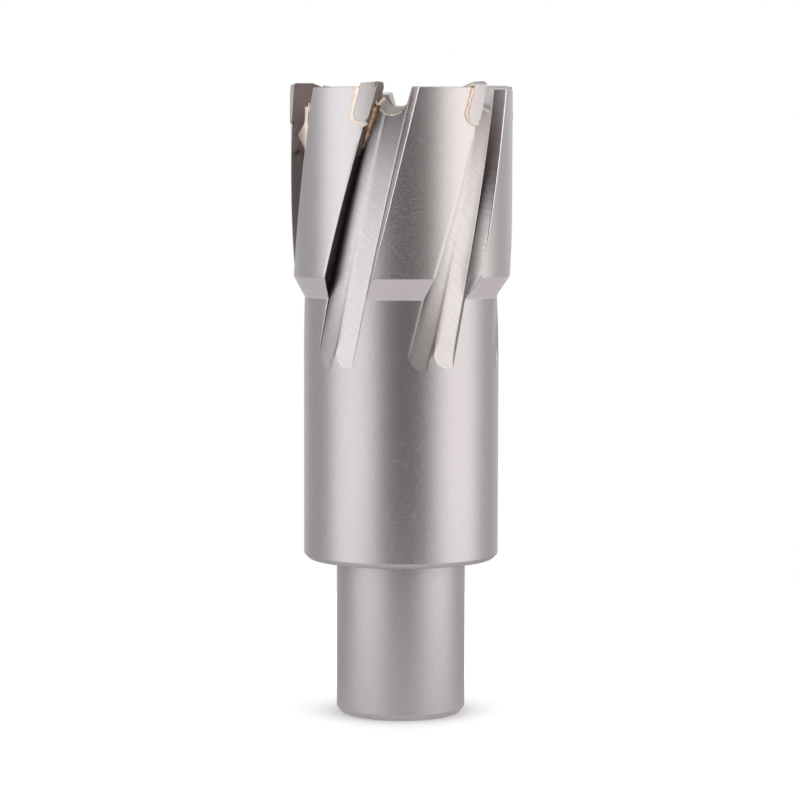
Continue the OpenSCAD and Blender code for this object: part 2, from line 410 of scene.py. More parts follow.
def body_finishes():
    # The lead floor carries painted shade in the wall's corner; the back wall carries painted shade and
    # highlight across it
    lead = milled_steel("tool_steel_milled_lead", ("#b4b0af", "#bab6b5", "#b2aead", "#a39f9e"),
                        (0.45, 0.34, 0.34, 0.34), slope=1.25, streak=0.06, corner_shade_amount=1.0, shade=0.0)
    trail = milled_steel("tool_steel_milled_trail", ("#bab6b6", "#b5b1b1", "#ada9a9", "#969292"),
                         (0.38, 0.34, 0.34, 0.34), slope=0.95, streak=0.045, corner_shade_amount=0.0, shade=0.0)
    back = milled_steel("tool_steel_milled_back", ("#9a9594", "#9b9796", "#b2aead", "#c6c2c3"),
                        (0.34, 0.26, 0.26, 0.46), slope=0.95, streak=0.06, corner_shade_amount=0.0, shade=0.55)
    body = satin_steel("tool_steel_satin_ground", "#b2aeb0", "#bebabc", 0.3, (0.414, 0.464), 0.07)
    cone = turned_steel("tool_steel_turned", "#dbd5d9", 0.62)
    bore = turned_steel("tool_steel_bored", "#c8c4c4", 0.5)
    land = satin_steel("tool_steel_satin_blasted", "#bbb8b8", "#c8c5c5", 0.19, (0.385, 0.52), 0.03)
    shank = satin_steel("tool_steel_satin_shank", "#b2aeb0", "#bebabc", 0.3, (0.48, 0.53), 0.07)
    return [wall_with_painted_shade(), lead, trail, back, body, cone, bore, land, shank]


# Columns of a flute's section: round each corner, up each wall, and over the floors and the ridge
ROUND_COUNT = 3
FOOT_COUNT = 4
BREAK_COUNT = 5
WALL_COUNT = 2
LEAD_COUNT = 9
RIDGE_COUNT = 15
TRAIL_COUNT = 11
LAND_STEPS = 8
# Half the turn over which the ridge's foot and crest are worn round, and the step of that wear
RIDGE_REACH = 3.6
RIDGE_BLUR = 0.3


def climb(z, r):
    """Height that a groove's floor has climbed at height z."""
    return r - sqrt(r * r - (RUNOUT_Z - z) ** 2) if z < RUNOUT_Z else 0.0


def outer_r(z):
    """Radius of the turned blank at height z, above the shoulder."""
    share = min(1.0, max(0.0, (z - CONE_Z) / (HEAD_Z - CONE_Z)))
    return BODY_R + share * (LAND_R - BODY_R)


def rounded(before, corner, after, size, count):
    """Points round a corner that is broken by the given size."""
    size = min(size, 0.4 * (before - corner).length, 0.4 * (after - corner).length)
    start = corner + (before - corner).normalized() * size
    end = corner + (after - corner).normalized() * size
    steps = [k / (count - 1) for k in range(count)]
    return [(1 - t) ** 2 * start + 2 * t * (1 - t) * corner + t * t * end for t in steps]


def between(a, b, count):
    """Points evenly between two points, without those two."""
    return [a.lerp(b, k / (count + 1)) for k in range(1, count + 1)]


def cross(a, b):
    return a.x * b.y - a.y * b.x


def chord_r(corners, deg):
    """Radius at which the straight floors between the corners are met at an angle."""
    way = on_ring(1, deg)
    for p, q in zip(corners, corners[1:]):
        if angle_of(q) >= deg or q is corners[-1]:
            return cross(p, q - p) / cross(way, q - p)


def flute_corners(z):
    """Corners of a flute's section at height z: the wall, the floors with the crest, and the back wall."""
    r = outer_r(z)
    wall = helix_at(0, WALL_HELIX, z)
    ridge = helix_at(RIDGE_DEG, RIDGE_HELIX, z)
    back = helix_at(FLUTE_DEG, BACK_HELIX, z)
    high, low = z - RUNOUT_SKEW, z + RUNOUT_SKEW
    lead_r = BODY_R - LEAD_DEPTH + climb(high, DISC_R)
    lead_low_r = BODY_R - LEAD_LOW_DEPTH + climb(low, DISC_R)
    crest_r = BODY_R - CREST_DEPTH - CREST_WEAR + climb(z, CREST_RUNOUT_R)
    trail_r = TRAIL_R + climb(high, DISC_R)
    rise = max(0.0, z - HEAD_Z) * tan(radians(TRAIL_TAPER))
    trail_low_r = TRAIL_R + rise + climb(low, DISC_R)
    return [
        on_ring(r, wall - leaned(r, WALL_LEAN)),
        on_ring(lead_r, wall - leaned(lead_r, WALL_LEAN)),
        on_ring(lead_low_r, ridge - LEAD_FOOT_DEG),
        on_ring(crest_r, ridge - CREST_HALF_DEG),
        on_ring(crest_r, ridge + CREST_HALF_DEG),
        on_ring(trail_r, ridge + TRAIL_FOOT_DEG),
        on_ring(trail_low_r, back - leaned(trail_low_r, BACK_LEAN)),
        on_ring(r, back - leaned(r, BACK_LEAN)),
    ]


def floor_points(corners, start, stop, z):
    """Points over the floors and the ridge from one angle to another, the ridge worn round."""
    ridge = helix_at(RIDGE_DEG, RIDGE_HELIX, z)
    near = [ridge - RIDGE_REACH + 2 * RIDGE_REACH * k / (RIDGE_COUNT - 1) for k in range(RIDGE_COUNT)]
    degs = [start + (near[0] - start) * (k + 1) / (LEAD_COUNT + 1) for k in range(LEAD_COUNT)] + near
    degs += [near[-1] + (stop - near[-1]) * (k + 1) / (TRAIL_COUNT + 1) for k in range(TRAIL_COUNT)]
    points = []
    for deg in degs:
        here = chord_r(corners, min(stop, max(start, deg)))
        wear = 0.0
        for step in range(-3, 4):
            beside = min(stop, max(start, deg + step * RIDGE_BLUR))
            wear += (4 - abs(step)) * (chord_r(corners, beside) - here) / 16
        points.append(on_ring(chord_r(corners, deg) + wear, deg))
    return points


@functools.lru_cache(maxsize=None)
def flute_section(z):
    """Points of a flute's section at height z, from edge to edge, before the blank's surface stops them."""
    corners = flute_corners(z)
    r = outer_r(z)
    before = on_ring(r, angle_of(corners[0]) - 2)
    after = on_ring(r, angle_of(corners[-1]) + 2)
    back_break = SHARP_BREAK + (BACK_BREAK - SHARP_BREAK) * ease(z, *FILED_Z)
    edge = rounded(before, corners[0], corners[1], EDGE_BREAK, ROUND_COUNT)
    foot = rounded(corners[0], corners[1], corners[2], CORNER_FILLET, FOOT_COUNT)
    back_foot = rounded(corners[5], corners[6], corners[7], CORNER_FILLET, ROUND_COUNT)
    back_edge = rounded(corners[6], corners[7], after, back_break, BREAK_COUNT)
    points = edge + between(edge[-1], foot[0], WALL_COUNT) + foot
    points += floor_points(corners[1:7], angle_of(foot[-1]), angle_of(back_foot[0]), z)
    return points + back_foot + between(back_foot[-1], back_edge[0], WALL_COUNT) + back_edge


# Columns of one sector, from the middle of one land over a flute to the middle of the next
FLUTE_POINTS = len(flute_section(RIM_Z))
FIRST_FLOOR = ROUND_COUNT + WALL_COUNT + FOOT_COUNT // 2
LAST_FLOOR = FLUTE_POINTS - 2 - BREAK_COUNT - WALL_COUNT
WALL_END = ROUND_COUNT + WALL_COUNT
RIDGE_COLUMN = ROUND_COUNT + WALL_COUNT + FOOT_COUNT + LEAD_COUNT + RIDGE_COUNT // 2
COLUMNS = FLUTE_POINTS + 2 * LAND_STEPS - 1
# Levels of the skin: a fan from the plain body to the flutes' ends, the run-out, and the head above it
FAN_Z = 48.5
FAN_LEVELS = 7
RUNOUT_LOW_Z = 49.0
RUNOUT_TOP_Z = RUNOUT_Z + 1.2
RUNOUT_LEVELS = 26
# Least turn between neighbouring columns, which keeps them apart where a wall has run out
COLUMN_GAP = 0.012
# Rings of the turned profile before the shank's side and before the pilot bore: each corner gives ROUND_COUNT
SHANK_RING = 3 * ROUND_COUNT
BORE_RING = 6 * ROUND_COUNT


def runout_end(column):
    """Height at which a column of the floor meets the body's surface, found by halving."""
    low, high = RUNOUT_LOW_Z, RUNOUT_Z + 1
    for _ in range(40):
        z = (low + high) / 2
        if flute_section(z)[column].length > outer_r(z):
            low = z
        else:
            high = z
    return high


def column_ends():
    """For every column of a sector, the height at which its flute ends."""
    floor = {c: runout_end(c) for c in range(FIRST_FLOOR, LAST_FLOOR + 1)}
    first, last = floor[FIRST_FLOOR], floor[LAST_FLOOR]
    flute = [floor.get(c, first if c < FIRST_FLOOR else last) for c in range(FLUTE_POINTS)]
    middle = (first + last) / 2
    lead_in = [middle + (first - middle) * k / LAND_STEPS for k in range(LAND_STEPS)]
    lead_out = [last + (middle - last) * k / LAND_STEPS for k in range(1, LAND_STEPS)]
    return lead_in + flute + lead_out


def sector_row(zs):
    """One level of a sector: a point for each column, where column c is at height zs[c]."""
    row = []
    for c, z in enumerate(zs):
        r = outer_r(z)
        wall, back = helix_at(0, WALL_HELIX, z), helix_at(FLUTE_DEG, BACK_HELIX, z)
        half_land = (SECTOR - (back - wall)) / 2
        k = c - LAND_STEPS
        section = flute_section(z)
        if k < 0:
            edge = angle_of(section[0])
            start = wall - half_land
            p = on_ring(r, start + (edge - start) * c / LAND_STEPS)
        elif k < FLUTE_POINTS:
            p = section[k]
            p = on_ring(min(r, p.length), angle_of(p) + COLUMN_GAP * (k - FLUTE_POINTS / 2))
        else:
            edge = angle_of(section[-1])
            stop = back + half_land
            p = on_ring(r, edge + (stop - edge) * (k - FLUTE_POINTS + 1) / LAND_STEPS)
        row.append(p)
    return row


def head_levels():
    """Heights of the levels above the run-out, the same for every column."""
    e = EDGE_BREAK
    spans = [(RUNOUT_TOP_Z, CONE_Z - e, 5), (CONE_Z - e, CONE_Z + e, 1), (CONE_Z + e, HEAD_Z - e, 4),
             (HEAD_Z - e, HEAD_Z + e, 1), (HEAD_Z + e, RIM_Z - RIM_BREAK, 34)]
    return [a + (b - a) * k / n for a, b, n in spans for k in range(n)] + [RIM_Z - RIM_BREAK]


def sector_levels(even):
    """Levels of one sector, up from the evenly spaced columns of the plain body."""
    ends = column_ends()
    levels = []
    for k in range(FAN_LEVELS):
        t = k / FAN_LEVELS
        zs = [FAN_Z + (end - FAN_Z) * t for end in ends]
        degs = [u + (angle_of(p) - u) * ease(t, 0, 1) for u, p in zip(even, sector_row(zs))]
        levels.append([(*on_ring(outer_r(z), d), z) for d, z in zip(degs, zs)])
    for k in range(RUNOUT_LEVELS):
        zs = [end + (RUNOUT_TOP_Z - end) * k / RUNOUT_LEVELS for end in ends]
        levels.append([(*p, z) for p, z in zip(sector_row(zs), zs)])
    for z in head_levels():
        levels.append([(*p, z) for p in sector_row([z] * COLUMNS)])
    return levels


def profile_rings():
    """Radius and height of the rings below the flutes, down round the shank and up through the bores."""
    e = EDGE_BREAK
    corners = [
        (BODY_R, FAN_Z, 0), (BODY_R, SHANK_LEN + SHOULDER_CHAMFER, e),
        (BODY_R - SHOULDER_CHAMFER, SHANK_LEN, e), (SHANK_R, SHANK_LEN, 2 * e),
        (SHANK_R, SHANK_CHAMFER_H, e), (SHANK_R - SHANK_CHAMFER_W, 0, e),
        (PILOT_R + PILOT_CHAMFER, 0, e), (PILOT_R, PILOT_CHAMFER, e), (PILOT_R, BORE_Z - PILOT_CHAMFER, e),
        (PILOT_R + PILOT_CHAMFER, BORE_Z, e), (BORE_R, BORE_Z, 3 * e), (BORE_R, RIM_Z - RIM_CHAMFER, e / 2),
        (BORE_R + RIM_CHAMFER, RIM_Z, 0)]
    points = [Vector(c[:2]) for c in corners]
    rings = []
    for k in range(1, len(corners) - 1):
        rings += rounded(points[k - 1], points[k], points[k + 1], corners[k][2], ROUND_COUNT)
    return rings + [points[-1]]


def add_row(bm, sector):
    """Adds the points of one level all round, sector by sector."""
    return [bm.verts.new(to_tooth(i) @ Vector(p)) for i in range(1, TEETH + 1) for p in sector]


def add_skin(bm, lower, upper, finish):
    """Adds the faces between two levels. Their finish goes by the column within its sector."""
    around = len(lower)
    for c in range(around):
        d = (c + 1) % around
        face = bm.faces.new((lower[c], lower[d], upper[d], upper[c]))
        face.material_index = finish(c % COLUMNS)
        face.smooth = True


def flute_finish(c, z, in_flute):
    """Finish of the skin at column c of a sector and height z."""
    k = c - LAND_STEPS
    if in_flute and ROUND_COUNT - 1 <= k < FLUTE_POINTS - 1:
        return WALL if k < WALL_END else LEAD if k < RIDGE_COLUMN else TRAIL if k < LAST_FLOOR else BACK
    return BODY if z < CONE_Z else CONE if z < HEAD_Z else LAND


def add_rim(bm, edge, bore):
    """Adds the rim's flat top, between the outer skin, broken at its edge, and the bore's chamfer."""
    around = len(edge)
    rim = []
    for n, v in enumerate(edge):
        before, after = edge[n - 1].co, edge[(n + 1) % around].co
        side = (after - before).cross(Vector((0, 0, 1))).normalized()
        rim.append(bm.verts.new(Vector((*(v.co - side * RIM_BREAK).xy, RIM_Z))))
    add_skin(bm, edge, rim, lambda c: LAND)
    loops = []
    for row in (rim, bore):
        loops += [bm.edges.get((row[n], row[(n + 1) % around])) for n in range(around)]
    filled = bmesh.ops.triangle_fill(bm, edges=loops, use_beauty=True, normal=(0, 0, 1))
    for item in filled["geom"]:
        if isinstance(item, bmesh.types.BMFace):
            item.material_index = LAND


def to_mesh(bm, name):
    """Turns a working mesh into a mesh of that name, and frees it."""
    mesh = bpy.data.meshes.new(name)
    bm.to_mesh(mesh)
    bm.free()
    return mesh


def body_mesh():
    """The cutter's body before gullets, pockets and flats are cut: one skin of columns and levels."""
    even = [helix_at(0, WALL_HELIX, FAN_Z) + SECTOR * (c - LAND_STEPS) / COLUMNS for c in range(COLUMNS)]
    levels = sector_levels(even)
    bm = bmesh.new()
    rows = [add_row(bm, level) for level in levels]
    for n in range(len(rows) - 1):
        z = (levels[n][0][2] + levels[n + 1][0][2]) / 2
        add_skin(bm, rows[n], rows[n + 1], lambda c, z=z, n=n: flute_finish(c, z, n >= FAN_LEVELS))
    below = rows[0]
    for n, ring in enumerate(profile_rings()):
        row = add_row(bm, [(*on_ring(ring.x, u), ring.y) for u in even])
        finish = BORE if n >= BORE_RING else SHANK if n >= SHANK_RING else BODY
        add_skin(bm, row, below, lambda c, finish=finish: finish)
        below = row
    add_rim(bm, rows[-1], below)
    bmesh.ops.recalc_face_normals(bm, faces=bm.faces)
    bm.transform(Matrix.Scale(MM, 4))
    return to_mesh(bm, "cutter_body_skin")


def place(name, mesh):
    obj = bpy.data.objects.new(name, mesh)
    bpy.context.scene.collection.objects.link(obj)
    return obj


def tip_frame(i):
    """Frame of tip i: its rake face on x = 0, its top edge on z = 0, leaning with the flute."""
    lean = Matrix.Rotation(radians(TIP_LEAN), 4, "Y")
    return to_tooth(i) @ Matrix.Translation((0, 0, TIP_Z)) @ lean


def gullet_frame(i):
    """Frame of gullet i, with its axis along y and its centre where the flute's floor is."""
    setback = radians(WALL_LAG) * LAND_R
    drop = GULLET_R / cos(radians(GULLET_FALL)) - GULLET_DEPTH
    fall = Matrix.Rotation(radians(GULLET_FALL), 4, "X")
    return tip_frame(i) @ Matrix.Translation((GULLET_R - setback, -TRAIL_R, drop)) @ fall


def prism(bm, outline, y0, y1, matrix):
    """Adds a prism along y from an outline of (x, z) points."""
    ends = []
    for y in (y0, y1):
        ends.append([bm.verts.new(matrix @ Vector((x, y, z))) for x, z in outline])
    count = len(outline)
    bm.faces.new(ends[0])
    bm.faces.new(ends[1][::-1])
    for k in range(count):
        n = (k + 1) % count
        bm.faces.new((ends[0][k], ends[1][k], ends[1][n], ends[0][n]))


def arc(cx, cz, r, start, stop, count):
    degs = [start + (stop - start) * k / count for k in range(count + 1)]
    return [(cx + r * cos(radians(d)), cz + r * sin(radians(d))) for d in degs]


def gullet_cuts(bm):
    """Round-bottomed gullets in front of the tips, open at the rim."""
    reach = CUT_R + 2 - TRAIL_R
    outline = arc(0, 0, GULLET_R, 180, 360, 40) + [(GULLET_R, TIP_H), (-GULLET_R, TIP_H)]
    for i in range(1, TEETH + 1):
        prism(bm, outline, -reach, reach, gullet_frame(i))


def pocket_cuts(bm):
    """Round-bottomed pockets for the tips and the braze round them, open in front."""
    r = TIP_R + BRAZE_T
    outline = [(0, 1), (-TIP_W - BRAZE_T, 1)] + arc(-TIP_R, TIP_FOOT, r, 180, 318, 26)
    outline = [p for p in outline if p[0] <= 0] + [(0, TIP_FOOT - sqrt(r ** 2 - TIP_R ** 2))]
    for i in range(1, TEETH + 1):
        prism(bm, outline, -CUT_R - 2, -BORE_R + 2, tip_frame(i))


def flat_cuts(bm):
    """Two set-screw flats at the back of the shank."""
    half_chord = sqrt(SHANK_R ** 2 - (SHANK_R - FLAT_DEPTH) ** 2) + 0.2
    low, high = FLAT_Z - FLAT_LEN / 2, FLAT_Z + FLAT_LEN / 2
    outline = [(-half_chord, low), (half_chord, low), (half_chord, high), (-half_chord, high)]
    for side in (-1, 1):
        spin = Matrix.Rotation(radians(FLAT_TURN + side * FLAT_SPREAD / 2), 4, "Z")
        prism(bm, outline, SHANK_R - FLAT_DEPTH, SHANK_R + 1, spin)


def cut(obj, add_cuts, material):
    """Cuts shapes from an object for good, with a finish on the faces that they leave."""
    bm = bmesh.new()
    add_cuts(bm)
    bmesh.ops.recalc_face_normals(bm, faces=bm.faces)
    bm.transform(Matrix.Scale(MM, 4))
    cutter = place("cut", to_mesh(bm, "cut"))
    cutter.data.materials.append(material)
    modifier = obj.modifiers.new("cut", "BOOLEAN")
    modifier.operation = "DIFFERENCE"
    modifier.solver = "EXACT"
    modifier.object = cutter
    modifier.material_mode = "TRANSFER"
    shown = obj.evaluated_get(bpy.context.evaluated_depsgraph_get())
    mesh = bpy.data.meshes.new_from_object(shown)
    obj.modifiers.clear()
    obj.data = mesh
    bpy.data.objects.remove(cutter)


def set_sharp(mesh, degrees):
    """Sharp edges where faces meet at more than an angle, or where the finish changes."""
    bm = bmesh.new()
    bm.from_mesh(mesh)
    for face in bm.faces:
        face.smooth = True
    for edge in bm.edges:
        faces = edge.link_faces
        edge.smooth = (len(faces) == 2 and faces[0].material_index == faces[1].material_index
                       and edge.calc_face_angle(0.0) < radians(degrees))
    bm.to_mesh(mesh)
    bm.free()


def weigh_normals(obj):
    """Flat faces keep their own normal, and only the narrow breaks between them are shaded round."""
    modifier = obj.modifiers.new("flat_faces", "WEIGHTED_NORMAL")
    modifier.mode = "FACE_AREA"
    modifier.keep_sharp = True


def make_body():
    """The steel body: the blank's skin with its flutes, from which gullets, pockets and flats are cut."""
    body = place("cutter_body_shaped", body_mesh())
    finishes = body_finishes()
    for material in finishes:
        body.data.materials.append(material)
    for add_cuts, finish in ((gullet_cuts, LAND), (pocket_cuts, WALL), (flat_cuts, CONE)):
        cut(body, add_cuts, finishes[finish])
    set_sharp(body.data, 26)
    weigh_normals(body)
    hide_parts("cutter_body")
    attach(body, "root")


def make_tip(i, clean, tinted):
    """A ground tip with its edges honed, from the solid's own faces. Its rake face is tinted by heat."""
    name = f"carbide_tip_{i}"
    bm = bmesh.new()
    bm.from_mesh(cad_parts[name].data)
    bmesh.ops.remove_doubles(bm, verts=bm.verts, dist=0.0005 * MM)
    bmesh.ops.dissolve_limit(bm, angle_limit=radians(1), verts=bm.verts, edges=bm.edges)
    edges = [e for e in bm.edges if e.calc_face_angle(0.0) > radians(14)]
    bmesh.ops.bevel(bm, geom=edges, offset=HONE * MM, segments=1, profile=0.5,
                    affect="EDGES", clamp_overlap=True)
    mesh = to_mesh(bm, name + "_honed")
    mesh.materials.append(clean)
    mesh.materials.append(tinted)
    obj = place(name + "_honed", mesh)
    obj.matrix_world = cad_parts[name].matrix_world
    rake = tip_frame(i).to_3x3() @ Vector((1, 0, 0))
    for face in mesh.polygons:
        # Only the small faces, which the hone and the round foot left, are shaded smooth
        face.use_smooth = face.area < 0.25 * MM * MM
        face.material_index = 1 if face.normal.dot(rake) > 0.98 else 0
    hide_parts(name)
    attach(obj, "root")


# Section of a braze bead over a joint, from the steel to the tip: way across, height and tarnish. It starts
# with a stain on the steel, and a thin dark line parts that from the bead.
BEAD = ((-0.6, -0.02, 0.5), (-0.52, 0.008, 0.42), (-0.36, 0.012, 0.3), (-0.26, 0.012, 0.4),
        (-0.21, 0.006, 0.8), (-0.16, 0.05, 0.3), (-0.08, 0.1, 0.0), (0.0, 0.13, 0.0),
        (0.06, 0.145, 0.0), (0.12, 0.15, 0.1), (0.17, 0.1, 0.3))
BEAD_LINE, LINE_TARNISH = BEAD[4][0], BEAD[4][2]
BEAD_TOP = -1.6
# How dark that line is, how wide the stain and how wide the bead beside each tip
SEAMS = ((0.6, 0.8, 2.0), (0.95, 1.0, 1.5), (0.7, 0.7, 1.7),
         (0.6, 0.9, 1.6), (0.8, 0.6, 1.5), (0.6, 0.8, 1.8))
# Braze that ran down beside each tip: lowest height, reach up the wall and along the floor, share of both at
# the top, place and half width of the pale streak down it, and tarnish of the streak and beside it
POURS = ((83.1, 1.9, 1.2, 0.9, 0.55, 0.3, 0.6, 0.95), (85.2, 0.9, 0.5, 0.5, 0.35, 0.4, 0.2, 0.8),
         (83.9, 1.1, 0.9, 0.6, 0.4, 0.4, 0.3, 0.8), (84.6, 1.2, 0.7, 0.5, 0.3, 0.5, 0.2, 0.8),
         (83.2, 1.0, 1.1, 0.7, 0.45, 0.35, 0.4, 0.85), (83.2, 1.9, 0.8, 0.85, 0.3, 0.6, 0.0, 0.2))
POUR_TOP = 89.6
# Brown film over the wall below a tip: heights, radii, and where it steps from the rake face to the steel
FILM_Z = (88.4, 82.4)
FILM_R = (13.0, 16.1)
FILM_STEP = (87.2, 85.4)
# Film over a gullet: angles round it from the tip's side, and how far in it ends
GULLET_ARC = (-84, 54)
GULLET_END = 2.75
# Teeth whose braze wet the tip's back above the rim and left the gullet plain grey
WEDGED = (2, 5)
# Tarnish of the braze in the joints themselves
JOINT_TARNISH = -0.4
# Frame of the gullet of a tooth that points straight forwards, as the flute's sections are given
GULLET = Matrix.Rotation(radians(-FIRST_TOOTH), 4, "Z") @ gullet_frame(1)


def ripple(x, y, z):
    """Smooth random value about 0, the same on each run."""
    return noise.noise(Vector((x, y, z)))


def wobble(seed, t, size):
    """Smooth random change about 1 along a length, for poured metal."""
    return 1 + size * ripple(t, seed * 7.3, 0.5)


def add_sheet(bm, rows):
    """Adds a sheet to a mesh from rows of points and of their tarnish."""
    layer = bm.verts.layers.float["tarnish"]
    grid = []
    for points, values in rows:
        line = []
        for p, value in zip(points, values):
            vert = bm.verts.new(p)
            vert[layer] = value
            line.append(vert)
        grid.append(line)
    for lower, upper in zip(grid, grid[1:]):
        for n in range(len(lower) - 1):
            bm.faces.new((lower[n], lower[n + 1], upper[n + 1], upper[n])).smooth = True


def bead_path():
    """Points on the land along a tip's joint, from the rim down round the foot, for a tooth at the front."""
    x = -TIP_W - BRAZE_T / 2
    path = [(x, BEAD_TOP + (TIP_FOOT - BEAD_TOP) * k / 24) for k in range(24)]
    path += arc(-TIP_R, TIP_FOOT, TIP_R + BRAZE_T / 2, 180, 322, 30)
    lean = radians(TIP_LEAN)
    spots = []
    for px, pz in path:
        sx = px * cos(lean) + pz * sin(lean)
        sz = pz * cos(lean) - px * sin(lean) + TIP_Z
        spots.append(Vector((sx, -sqrt(LAND_R ** 2 - sx ** 2), sz)))
    return spots


def bead_rows(i):
    """Rows of a bead round the joint of tip i on the land, and of the stain beside it."""
    spots = bead_path()
    seam, stained, broad = SEAMS[i - 1]
    for n, p in enumerate(spots):
        along = (spots[min(n + 1, len(spots) - 1)] - spots[max(n - 1, 0)]).normalized()
        out = Vector((p.x, p.y, 0)).normalized()
        across = out.cross(along).normalized()
        t = n * 0.18
        wide, tall, stain = wobble(i, t, 0.5), wobble(i + 20, t, 0.35), 0.2 * ripple(t * 2, i, 4.0)
        spread = stained * (0.25 + 1.1 * exp(-n / 9)) * wobble(i + 40, t * 1.5, 0.5)
        row, values = [], []
        for s, h, v in BEAD:
            if BEAD_LINE <= s <= 0:
                s *= wide * broad
            elif s < 0:
                s = BEAD_LINE * wide * broad + (s - BEAD_LINE) * spread
            row.append(to_tooth(i) @ (p + across * s + out * (h * tall if h > 0 else h)))
            values.append(seam if v == LINE_TARNISH else v + stain)
        yield row, values


def fillet_rows(i):
    """Rows of a braze fillet that has run down the corner between wall and floor under tip i."""
    bottom, reach, spread, share, streak, half, pale, beside = POURS[i - 1]
    count, across = 52, 18
    for n in range(count + 1):
        t = n / count
        z = POUR_TOP + (bottom - POUR_TOP) * t
        edge, corner, low = flute_corners(z)[:3]
        up_way, floor_way = (edge - corner).normalized(), (low - corner).normalized()
        swell = share + (1 - share) * ease(t, 0.3, 0.5)
        swell *= 1 - max(0.0, (t - 0.45) / 0.55) ** 1.3
        a = corner + up_way * (reach * swell * wobble(i, t * 5, 0.2) + 0.02)
        b = corner + floor_way * (spread * swell * wobble(i + 9, t * 5, 0.2) + 0.02)
        middle = corner.lerp((a + b) / 2, 0.25)
        ends = max(ease(t, 0.85, 1.0), ease(t, 0.1, 0.0))
        row, values = [], []
        for k in range(across + 1):
            s = k / across
            p = (1 - s) ** 2 * a + 2 * s * (1 - s) * middle + s * s * b
            if k in (0, across):
                p = p - (up_way + floor_way) * 0.015
            row.append(to_tooth(i) @ Vector((*p, z)))
            aside = ease(abs(s - streak + 0.1 * ripple(t * 4, i, 7.0)), 0, half)
            tone = pale + (beside - pale) * max(aside, ends)
            values.append(tone + 0.2 * ripple(t * 8, s * 3, i * 2.0))
        yield row, values


def wall_rows(i):
    """Rows of a thin brown film from the foot of tip i's rake face down over the step to the steel wall."""
    count, across = 30, 18
    for n in range(count + 1):
        t = n / count
        z = FILM_Z[0] + (FILM_Z[1] - FILM_Z[0]) * t
        step = ease(z, *FILM_STEP)
        faded = 0.17 * ease(t, 0.6, 1.0)
        row, values = [], []
        for k in range(across + 1):
            s = k / across
            r = FILM_R[0] + (FILM_R[1] - FILM_R[0]) * s
            rake = degrees(asin((z - TIP_Z) * tan(radians(TIP_LEAN)) / r))
            wall = helix_at(0, WALL_HELIX, z) - leaned(r, WALL_LEAN)
            # The film's border dips into the steel, so that no edge of it stands off
            border = max(abs(2 * t - 1), abs(2 * s - 1)) ** 14
            p = on_ring(r, rake * (1 - step) + wall * step + 0.08 - 0.2 * border)
            row.append(to_tooth(i) @ Vector((*p, z)))
            values.append(1.25 - faded + 0.1 * ripple(z * 0.7, r, i * 2.0))
        yield row, values


def wedge_rows(i):
    """Rows of braze that wet the back of tip i above the rim, brown along the rim and pale higher up."""
    count, foot, length = 12, -1.42, 1.9
    shares, tones = (0.0, 0.3, 0.65, 1.0), (0.9, 0.75, 0.35, 0.3)
    for n in range(count + 1):
        inward = length * n / count
        y = -LAND_R + 0.1 + inward
        high = min(0.44 + 0.5 * inward, 0.66 - 0.34 * inward)
        yield [tip_frame(i) @ Vector((-TIP_W - 0.03 * (1 - s), y, foot + high * s)) for s in shares], tones


def lip(angle, r):
    """Way along a gullet, at an angle round it, to where the flute's floor starts, found by halving."""
    a = radians(angle)
    near, far = -3.0, 3.0
    for _ in range(30):
        y = (near + far) / 2
        p = GULLET @ Vector((r * sin(a), y, -r * cos(a)))
        corners = flute_corners(p.z)[1:7]
        deg = min(angle_of(corners[-1]), max(angle_of(corners[0]), angle_of(p)))
        if p.xy.length > chord_r(corners, deg):
            near = y
        else:
            far = y
    return near


def gullet_tone(i, c, y, t, on_lip):
    """Tarnish of the film over gullet i: cream by the tip, grey further round, brown far in."""
    if i in WEDGED:
        return -0.45
    greyed = ease(c + 10 * ripple(y, i, 1.0), -56, -34)
    brown = ease(c, -46, -56) * ease(t, 0.05, 0.17)
    return 0.2 - (0.35 if on_lip else 0.65) * greyed + 0.8 * brown


def gullet_rows(i):
    """Rows of a braze film over the gullet beside tip i, with a bright rolled lip on the flute's floor."""
    count, across = 18, 46
    start, stop = GULLET_ARC
    columns = [start + (stop - start) * k / across for k in range(across + 1)]
    lips = [(lip(c, GULLET_R + 0.07), lip(c, GULLET_R)) for c in columns]
    for n in range(count + 1):
        t = max(0, n - 2) / (count - 2)
        row, values = [], []
        for c, (outer, inner) in zip(columns, lips):
            a = radians(c)
            if n < 2:
                y, thick = (outer, inner - 0.02)[n], (-0.08, 0.0)[n]
            else:
                y = inner + 0.05 + (GULLET_END - inner) * t
                thick = 0.03 * (1 - t) + 0.012 * ripple(y, c / 30, i * 5.0) - 0.02 * t ** 4
            r = GULLET_R - thick
            row.append(to_tooth(i) @ GULLET @ Vector((r * sin(a), y, -r * cos(a))))
            values.append(gullet_tone(i, c, y, t, n < 3) + 0.15 * ripple(y * 2, c / 12, i * 3.0))
        yield row, values


def make_braze(i, material):
    """Braze of tip i: the film in the joint, a bead over it and the metal that ran down beside it."""
    name = f"braze_joint_{i}"
    bm = bmesh.new()
    bm.verts.layers.float.new("tarnish")
    sheets = [bead_rows(i), fillet_rows(i), wall_rows(i), gullet_rows(i)]
    if i in WEDGED:
        sheets.append(wedge_rows(i))
    for rows in sheets:
        add_sheet(bm, rows)
    bmesh.ops.recalc_face_normals(bm, faces=bm.faces)
    bm.transform(Matrix.Scale(MM, 4))
    poured = len(bm.verts)
    bm.from_mesh(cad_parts[name].data)
    layer = bm.verts.layers.float["tarnish"]
    for vert in list(bm.verts)[poured:]:
        vert[layer] = JOINT_TARNISH
    mesh = to_mesh(bm, name + "_run")
    mesh.materials.append(material)
    obj = place(name + "_run", mesh)
    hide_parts(name)
    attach(obj, "root")


